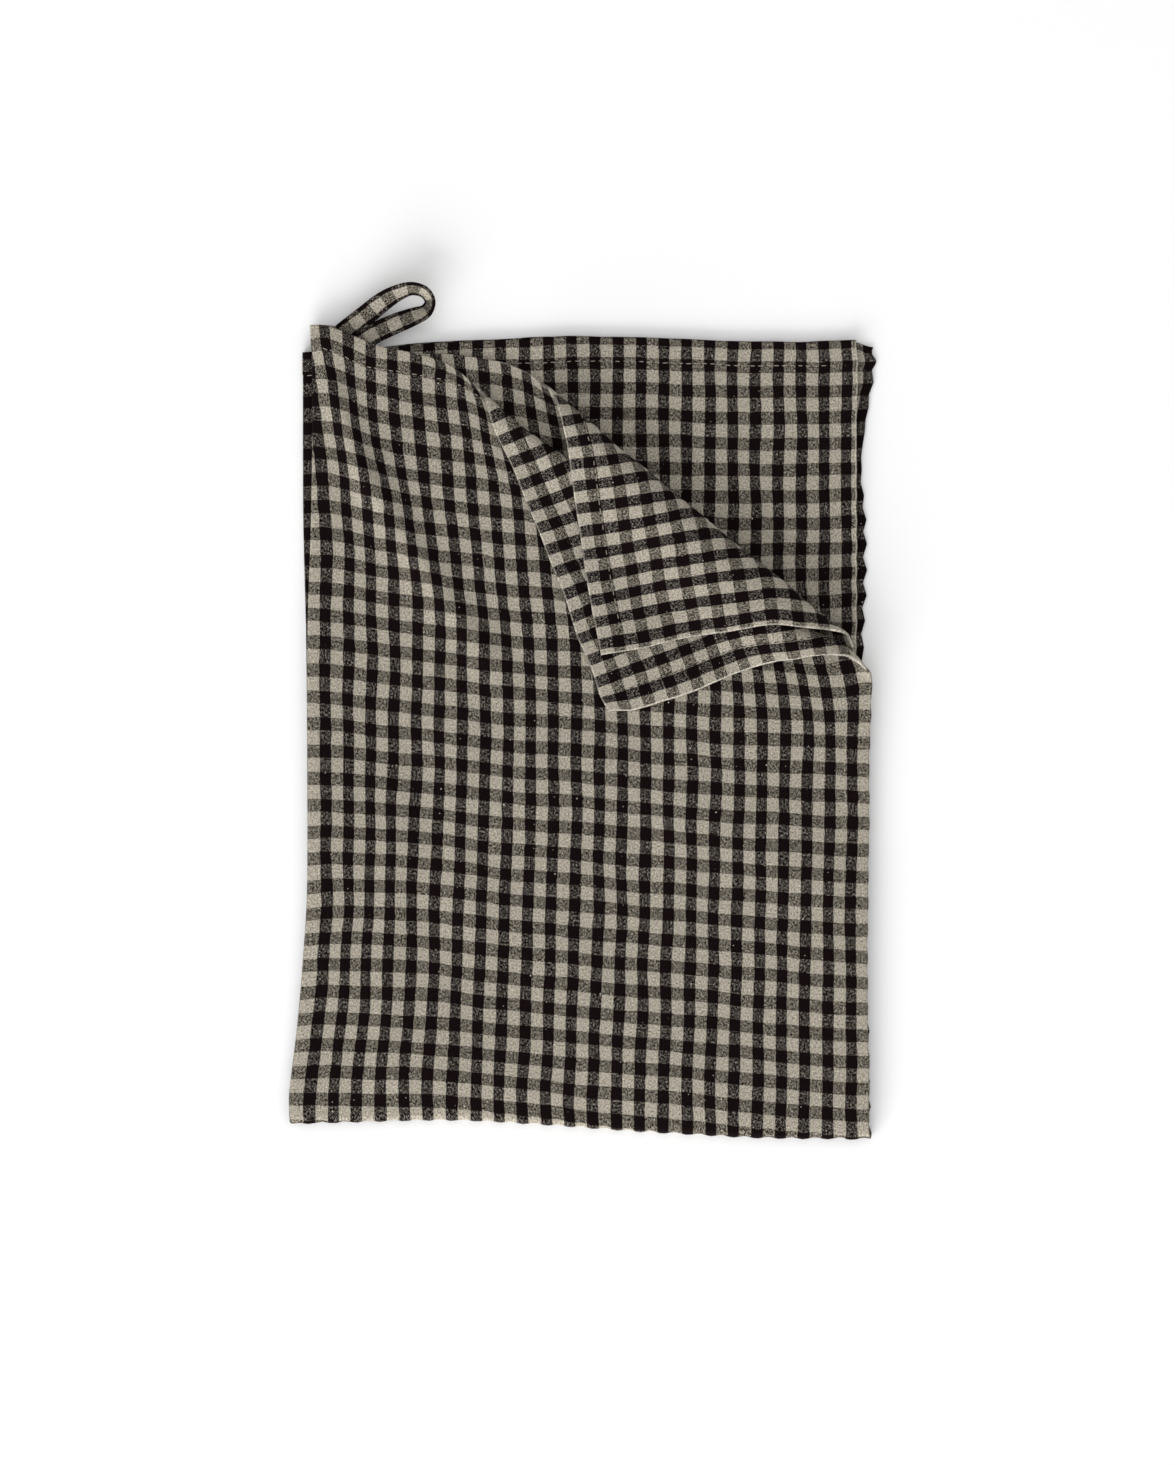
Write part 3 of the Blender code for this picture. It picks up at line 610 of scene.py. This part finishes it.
def gingham_linen(name):
    """Plain-woven linen: dark and natural warp and weft, in bands, on the map called cloth."""
    material = bpy.data.materials.new(name)
    material.use_nodes = True
    nodes, links = material.node_tree.nodes, material.node_tree.links
    shader = nodes["Principled BSDF"]
    shader.inputs["Roughness"].default_value = 0.88
    shader.inputs["Specular IOR Level"].default_value = 0.03
    shader.inputs["Sheen Weight"].default_value = 0.01
    shader.inputs["Sheen Roughness"].default_value = 0.6

    def put(socket, value):
        if isinstance(value, bpy.types.NodeSocket):
            links.new(value, socket)
        else:
            socket.default_value = value

    def reckon(operation):
        def work(*values):
            node = nodes.new("ShaderNodeMath")
            node.operation = operation
            for socket, value in zip(node.inputs, values):
                put(socket, value)
            return node.outputs[0]

        return work

    add, take, times, over = (reckon(way) for way in ("ADD", "SUBTRACT", "MULTIPLY", "DIVIDE"))
    least, most, below, above = (reckon(way) for way in ("MINIMUM", "MAXIMUM", "LESS_THAN", "GREATER_THAN"))
    size, sine, part = (reckon(way) for way in ("ABSOLUTE", "SINE", "FRACT"))

    cloth = nodes.new("ShaderNodeUVMap")
    cloth.uv_map = "cloth"
    apart = nodes.new("ShaderNodeSeparateXYZ")
    links.new(cloth.outputs[0], apart.inputs[0])
    u = add(over(apart.outputs[0], MM), U_LOW)
    v = over(apart.outputs[1], MM)

    def grain(kind):
        """A chance value about 0, half the kind's depth either way at most."""
        at = nodes.new("ShaderNodeCombineXYZ")
        put(at.inputs[0], times(u, kind.across))
        put(at.inputs[1], times(add(v, kind.start), kind.along))
        node = nodes.new("ShaderNodeTexNoise")
        node.inputs["Scale"].default_value = 1.0
        node.inputs["Detail"].default_value = kind.detail
        links.new(at.outputs[0], node.inputs["Vector"])
        return times(take(node.outputs["Fac"], 0.5), kind.depth)

    def blend(share, first, second, way="MIX"):
        node = nodes.new("ShaderNodeMix")
        node.data_type = "RGBA"
        node.blend_type = way
        put(node.inputs[0], share)
        put(node.inputs[6], first)
        put(node.inputs[7], second)
        return node.outputs[2]

    def held(value, limit=1.0):
        return least(most(value, 0.0), limit)

    def band(at, pitch, middle):
        """1 in the dark bands and 0 between them, with edges as soft as half a thread."""
        from_middle = size(take(part(add(over(take(at, middle), pitch), 100.5)), 0.5))
        soft = BAND_SOFTNESS / pitch
        return held(over(take(DARK_SHARE / 2 + soft / 2, from_middle), soft))

    # the threads wander a little from their places, and the back's bands lie closer
    thread_u, thread_v = add(u, grain(COLUMN_SWAY)), add(v, grain(ROW_SWAY))
    behind = take(v, CROSS_FOLD_V)
    spread = times(times(most(u, 0.0), BACK_SPREAD), held(over(behind, BACK_SPREAD_AFTER)))
    in_hem = times(most(take(v, LENGTH - BACK_HEM_DRAW_IN), 0.0), BACK_HEM_DRAW)
    closer = add(times(most(behind, 0.0), BACK_STRETCH), in_hem)
    dark_warp = band(add(thread_u, spread), COLUMN_PITCH, COLUMN_MIDDLE)
    dark_weft = band(add(thread_v, closer), ROW_PITCH, ROW_MIDDLE)

    # plain weave: warp over weft and weft over warp by turns, with slubs that upset the order;
    # the dark yarns lie on top more often, which darkens the mixed squares as painted shade of the dark
    # threads on the pale ones
    weave = times(sine(times(thread_u, math.pi / WARP_THREAD)), sine(times(thread_v, math.pi / WEFT_THREAD)))
    lead = add(add(times(weave, WEAVE_LEAD), grain(YARN)), grain(SLUB))
    dark_over_shade = times(take(dark_warp, dark_weft), DARK_LEAD)
    warp_over = held(add(add(lead, dark_over_shade), WARP_LEAD))
    warp, weft = blend(dark_warp, PALE_WARP, DARK_WARP), blend(dark_weft, PALE_WEFT, DARK_WEFT)
    yarn = blend(warp_over, weft, warp)

    # pale edges: partly worn fibres and partly painted highlight where light catches the edge, weaker on the
    # dark bands
    on_outer = add(times(above(u, 0.0), OUTER_LIT_WORN - INNER_LIT_WORN), INNER_LIT_WORN)
    side_edge = below(least(take(u, U_LOW), take(U_HIGH, u)), LIT_WORN_EDGE)
    side_lit_worn = times(times(side_edge, below(v, LIT_WORN_SIDE_DOWN)), on_outer)
    top_lit_worn = times(times(below(v, LIT_WORN_EDGE), above(size(u), LIT_WORN_TOP_FROM)), TOP_LIT_WORN)
    back_lit_worn = times(times(below(take(u, U_LOW), LIT_WORN_EDGE), above(v, LIT_WORN_BACK_FROM)), BACK_LIT_WORN)
    lit_worn = most(most(side_lit_worn, top_lit_worn), back_lit_worn)
    lit_worn = times(lit_worn, take(LIT_WEAR_ON_PALE, times(dark_warp, LIT_WEAR_LESS_ON_DARK)))

    # lighter and darker yarn, and a few stray tufts
    bright = add(add(grain(TONE), grain(FLECK)), 1.0)
    grey = nodes.new("ShaderNodeCombineXYZ")
    for channel in grey.inputs:
        links.new(bright, channel)
    # the pale edges, partly wear and partly painted highlight, are mixed in before the random tone
    shaded = blend(1.0, blend(lit_worn, yarn, LIT_WORN_PALE), grey.outputs[0], "MULTIPLY")
    tuft = held(take(grain(TUFT), TUFT_RARITY), TUFT_COVER)
    links.new(blend(tuft, shaded, TUFT_PALE), shader.inputs["Base Color"])

    bump = nodes.new("ShaderNodeBump")
    bump.inputs["Strength"].default_value = 0.5
    bump.inputs["Distance"].default_value = RELIEF_DEPTH * MM
    links.new(add(times(size(weave), WEAVE_RELIEF), size(lead)), bump.inputs["Height"])
    links.new(bump.outputs[0], shader.inputs["Normal"])
    return material


towel_mesh.materials.append(gingham_linen("gingham_linen"))
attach(towel, "root")
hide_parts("towel")

# --- The hem stitches ------------------------------------------------------------------------
# One row of machine stitches holds each hem, 11 mm in from the edge, in linen thread: pale on the
# right side of the cloth and dark on the other. Each stitch dips into the cloth at both ends.

STITCH_LENGTH = 2.7
STITCH_GAP = 0.9
STITCH_RADIUS = 0.2
STITCH_HEIGHT = 0.36  # of its middle, over the middle of the cloth
STITCH_STRAY = 0.12
CORNER_GAP = 0.6 * HEM  # between a corner of the cloth and the first stitch
Ring = namedtuple("Ring", "along radius height")
STITCH_RINGS = (Ring(0.0, 0.6, 0.35), Ring(0.25, 1.0, 1.0), Ring(0.75, 1.0, 1.0), Ring(1.0, 0.6, 0.35))
RING_SIDES = 4
NEARBY = 0.3  # a step on the cloth that shows which way it faces


def stitch_marks():
    """Both ends of every stitch, on the flat grid."""
    ends = []
    step = STITCH_LENGTH + STITCH_GAP
    for down in (HEM, LENGTH - HEM):
        for k in range(int((U_HIGH - U_LOW - 2 * CORNER_GAP) / step)):
            start = U_LOW + CORNER_GAP + k * step
            ends.append(((start, down), (start + STITCH_LENGTH, down)))
    for across in (U_LOW + HEM, U_HIGH - HEM):
        for k in range(int((LENGTH - 2 * CORNER_GAP) / step)):
            start = CORNER_GAP + k * step
            ends.append(((across, start), (across, start + STITCH_LENGTH)))
    return np.array(ends)


def linen_thread(name, colour):
    """Matt two-ply thread, lighter and darker along its twist."""
    thread = bpy.data.materials.new(name)
    thread.use_nodes = True
    nodes, links = thread.node_tree.nodes, thread.node_tree.links
    shader = nodes["Principled BSDF"]
    shader.inputs["Roughness"].default_value = 0.8
    shader.inputs["Specular IOR Level"].default_value = 0.1
    ply = nodes.new("ShaderNodeTexNoise")
    ply.inputs["Scale"].default_value = 2400.0
    place = nodes.new("ShaderNodeTexCoord")
    links.new(place.outputs["Object"], ply.inputs["Vector"])
    tone = nodes.new("ShaderNodeMix")
    tone.data_type = "RGBA"
    links.new(ply.outputs["Fac"], tone.inputs[0])
    tone.inputs[6].default_value = [0.7 * c for c in colour] + [1.0]
    tone.inputs[7].default_value = [1.3 * c for c in colour] + [1.0]
    links.new(tone.outputs[2], shader.inputs["Base Color"])
    bump = nodes.new("ShaderNodeBump")
    bump.inputs["Strength"].default_value = 0.6
    bump.inputs["Distance"].default_value = 0.0001
    links.new(ply.outputs["Fac"], bump.inputs["Height"])
    links.new(bump.outputs[0], shader.inputs["Normal"])
    return thread


def sew(name, side, colour):
    """All the stitches that show on one side of the cloth, as one mesh."""
    ends = stitch_marks()
    ends = ends + np.random.default_rng(12).normal(0.0, STITCH_STRAY, ends.shape)
    rings = []
    for ring in STITCH_RINGS:
        at = ends[:, 0] + (ends[:, 1] - ends[:, 0]) * ring.along
        here = lay_cloth(at[:, 0], at[:, 1])
        right = lay_cloth(at[:, 0] + NEARBY, at[:, 1]) - lay_cloth(at[:, 0] - NEARBY, at[:, 1])
        down = lay_cloth(at[:, 0], at[:, 1] + NEARBY) - lay_cloth(at[:, 0], at[:, 1] - NEARBY)
        out = np.cross(down, right)
        out *= side / np.linalg.norm(out, axis=1)[:, None]
        run = np.where(np.abs(ends[:, 1] - ends[:, 0])[:, :1] > STITCH_LENGTH / 2, right, down)
        run = run / np.linalg.norm(run, axis=1)[:, None]
        sideways = np.cross(run, out)
        middle = here + out * STITCH_HEIGHT * ring.height
        for k in range(RING_SIDES):
            turn = 2 * math.pi * k / RING_SIDES
            spoke = sideways * math.cos(turn) + out * math.sin(turn)
            rings.append(middle + spoke * STITCH_RADIUS * ring.radius)
    points = np.stack(rings, axis=1).reshape(-1, 3) * MM
    faces = []
    last = (len(STITCH_RINGS) - 1) * RING_SIDES
    for first in range(0, len(points), len(rings)):
        for start in range(first, first + last, RING_SIDES):
            for k in range(RING_SIDES):
                a, b = start + k, start + (k + 1) % RING_SIDES
                faces.append((a, b, b + RING_SIDES, a + RING_SIDES))
        faces.append([first + k for k in reversed(range(RING_SIDES))])
        faces.append([first + last + k for k in range(RING_SIDES)])
    mesh = bpy.data.meshes.new(name)
    mesh.from_pydata([tuple(point) for point in points], [], faces)
    shell = bmesh.new()
    shell.from_mesh(mesh)
    bmesh.ops.recalc_face_normals(shell, faces=shell.faces)
    shell.to_mesh(mesh)
    shell.free()
    mesh.shade_smooth()
    mesh.materials.append(linen_thread(name + "_thread", colour))
    stitches = bpy.data.objects.new(name, mesh)
    bpy.context.scene.collection.objects.link(stitches)
    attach(stitches, "root")
    return stitches


pale_stitches = sew("hem_stitches_right_side", 1.0, (0.30, 0.27, 0.22))
dark_stitches = sew("hem_stitches_wrong_side", -1.0, (0.02, 0.014, 0.014))

# --- The hanging loop ------------------------------------------------------------------------
# A strap of the same linen, folded to 9 mm and stitched, then bent round on itself. Both ends are
# caught in the top hem, beside the lengthwise fold.

STRAP_WIDTH = 9.2
STRAP_THICKNESS = 1.1
STRAP_STATIONS = 120
STRAP_CUT_AT = (COLUMN_MIDDLE + COLUMN_PITCH / 2, 4.0)  # u and v of its start on the cloth
# its outline from one edge to the other, in half widths and half thicknesses: two folded layers,
# a little pillowed between the edges and the stitching
STRAP_PROFILE = (
    (-1.0, 0.35), (-0.93, 0.85), (-0.8, 0.8), (-0.68, 0.62), (-0.35, 0.95), (0.0, 1.0),
    (0.35, 0.95), (0.68, 0.62), (0.8, 0.8), (0.93, 0.85), (1.0, 0.35),
)
Route = namedtuple("Route", "x y z lean")
STRAP_ROUTE = (
    Route(-110.4, 176.6, 4.7, 0),
    Route(-107.0, 179.4, 4.75, 0),
    Route(-97.5, 186.7, 5.6, 10),
    Route(-90.2, 192.4, 6.2, 26),
    Route(-84.0, 196.0, 6.6, 44),
    Route(-77.8, 197.9, 6.6, 56),
    Route(-72.2, 196.4, 6.2, 60),
    Route(-69.6, 192.2, 5.7, 60),
    Route(-71.6, 188.0, 5.2, 46),
    Route(-77.6, 185.4, 4.8, 26),
    Route(-85.3, 182.4, 4.6, 10),
    Route(-94.0, 178.4, 4.5, 0),
    Route(-101.0, 174.0, 4.9, 0),
)
Stop = namedtuple("Stop", "at x y z lean")


def strap_line():
    """Points on the strap's middle line, the way its width runs, its face, and the run so far."""
    run = np.cumsum([0.0] + [math.dist(a[:3], b[:3]) for a, b in zip(STRAP_ROUTE, STRAP_ROUTE[1:])])
    stops = [Stop(at, *row) for at, row in zip(run, STRAP_ROUTE)]
    at = np.linspace(0.0, run[-1], STRAP_STATIONS)
    middle = np.stack([read(stops, axis, at) for axis in "xyz"], axis=-1)
    lean = np.radians(read(stops, "lean", at))[:, None]
    ahead = np.gradient(middle, axis=0)
    ahead /= np.linalg.norm(ahead, axis=1)[:, None]
    level = np.stack([ahead[:, 1], -ahead[:, 0], np.zeros(len(at))], axis=-1)
    level /= np.linalg.norm(level, axis=1)[:, None]
    upright = np.cross(level, ahead)
    width_way = level * np.cos(lean) - upright * np.sin(lean)
    return middle, width_way, np.cross(width_way, ahead), at


strap_upper = [(across * STRAP_WIDTH / 2, high * STRAP_THICKNESS / 2) for across, high in STRAP_PROFILE]
strap_section = strap_upper + [(across, -high) for across, high in reversed(strap_upper)]
strap_points, strap_uv = [], []
for middle, sideways, face, at in zip(*strap_line()):
    for across, high in strap_section:
        x, y, z = middle + sideways * across + face * high
        strap_points.append(((x + TABLE_ZERO[0]) * MM, (y + TABLE_ZERO[1]) * MM, z * MM))
        strap_uv.append(((STRAP_CUT_AT[0] - U_LOW + across) * MM, (STRAP_CUT_AT[1] + at) * MM))
round_it = len(strap_section)
strap_faces = []
for start in range(0, (STRAP_STATIONS - 1) * round_it, round_it):
    for k in range(round_it):
        a, b = start + k, start + (k + 1) % round_it
        strap_faces.append((a, b, b + round_it, a + round_it))
strap_faces.append(list(reversed(range(round_it))))
strap_faces.append([(STRAP_STATIONS - 1) * round_it + k for k in range(round_it)])
strap_mesh = bpy.data.meshes.new("hanging_loop_strap")
strap_mesh.from_pydata(strap_points, [], strap_faces)
strap_map = strap_mesh.uv_layers.new(name="cloth")
for loop in strap_mesh.loops:
    strap_map.data[loop.index].uv = strap_uv[loop.vertex_index]
strap_mesh.shade_smooth()
strap = bpy.data.objects.new("hanging_loop_strap", strap_mesh)
bpy.context.scene.collection.objects.link(strap)
strap_mesh.materials.append(gingham_linen("loop_linen"))
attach(strap, "root")
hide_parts("hanging_loop")

# --- The floor -------------------------------------------------------------------------------
# A plain white table top, matt and far larger than the towel. The towel lies straight on it.

FLOOR_REACH = 3.0  # in metres, each way
FLOOR_WHITE = (0.92, 0.92, 0.92, 1.0)
floor_mesh = bpy.data.meshes.new("floor")
floor_corners = [(x * FLOOR_REACH, y * FLOOR_REACH, 0) for x, y in ((-1, -1), (1, -1), (1, 1), (-1, 1))]
floor_mesh.from_pydata(floor_corners, [], [(0, 1, 2, 3)])
floor = bpy.data.objects.new("floor", floor_mesh)
bpy.context.scene.collection.objects.link(floor)
paint = bpy.data.materials.new("floor_white")
paint.use_nodes = True
paint.node_tree.nodes["Principled BSDF"].inputs["Base Color"].default_value = FLOOR_WHITE
paint.node_tree.nodes["Principled BSDF"].inputs["Roughness"].default_value = 0.9
floor_mesh.materials.append(paint)

# --- Light and camera ------------------------------------------------------------------------
# One large soft lamp stands low at the lower left, under an even white sky. The camera looks
# straight down. Sizes here are in metres unless their comment says otherwise.

sky = bpy.data.worlds.new("sky")
sky.use_nodes = True
sky.node_tree.nodes["Background"].inputs["Color"].default_value = (1.0, 1.0, 1.0, 1.0)
sky.node_tree.nodes["Background"].inputs["Strength"].default_value = 0.81
bpy.context.scene.world = sky

LAMP_WIDTH, LAMP_HEIGHT = 5.2, 2.4
LAMP_POWER = 292.0
LAMP_AT = (-1.9, -4.1, 1.45)
lamp_data = bpy.data.lights.new("soft_lamp", "AREA")
lamp_data.shape = "RECTANGLE"
lamp_data.size = LAMP_WIDTH
lamp_data.size_y = LAMP_HEIGHT
lamp_data.energy = LAMP_POWER
lamp = bpy.data.objects.new("soft_lamp", lamp_data)
lamp.location = LAMP_AT
lamp.rotation_euler = (-Vector(LAMP_AT)).to_track_quat("-Z", "Y").to_euler()
bpy.context.scene.collection.objects.link(lamp)

PICTURE_LONG_SIDE = 652.0  # what the long side of the picture takes in, in mm
PICTURE_MIDDLE = (0.0, 0.67)  # from where the tables start, in mm
CAMERA_LENS, CAMERA_SENSOR = 150.0, 36.0  # in mm
camera_data = bpy.data.cameras.new("camera")
camera_data.sensor_width = CAMERA_SENSOR
camera_data.lens = CAMERA_LENS
camera_data.clip_end = 20.0
camera = bpy.data.objects.new("camera", camera_data)
camera.location = (
    (TABLE_ZERO[0] + PICTURE_MIDDLE[0]) * MM,
    (TABLE_ZERO[1] + PICTURE_MIDDLE[1]) * MM,
    PICTURE_LONG_SIDE * MM * CAMERA_LENS / CAMERA_SENSOR,
)
bpy.context.scene.collection.objects.link(camera)
bpy.context.scene.camera = camera
bpy.context.scene.view_settings.view_transform = "Standard"
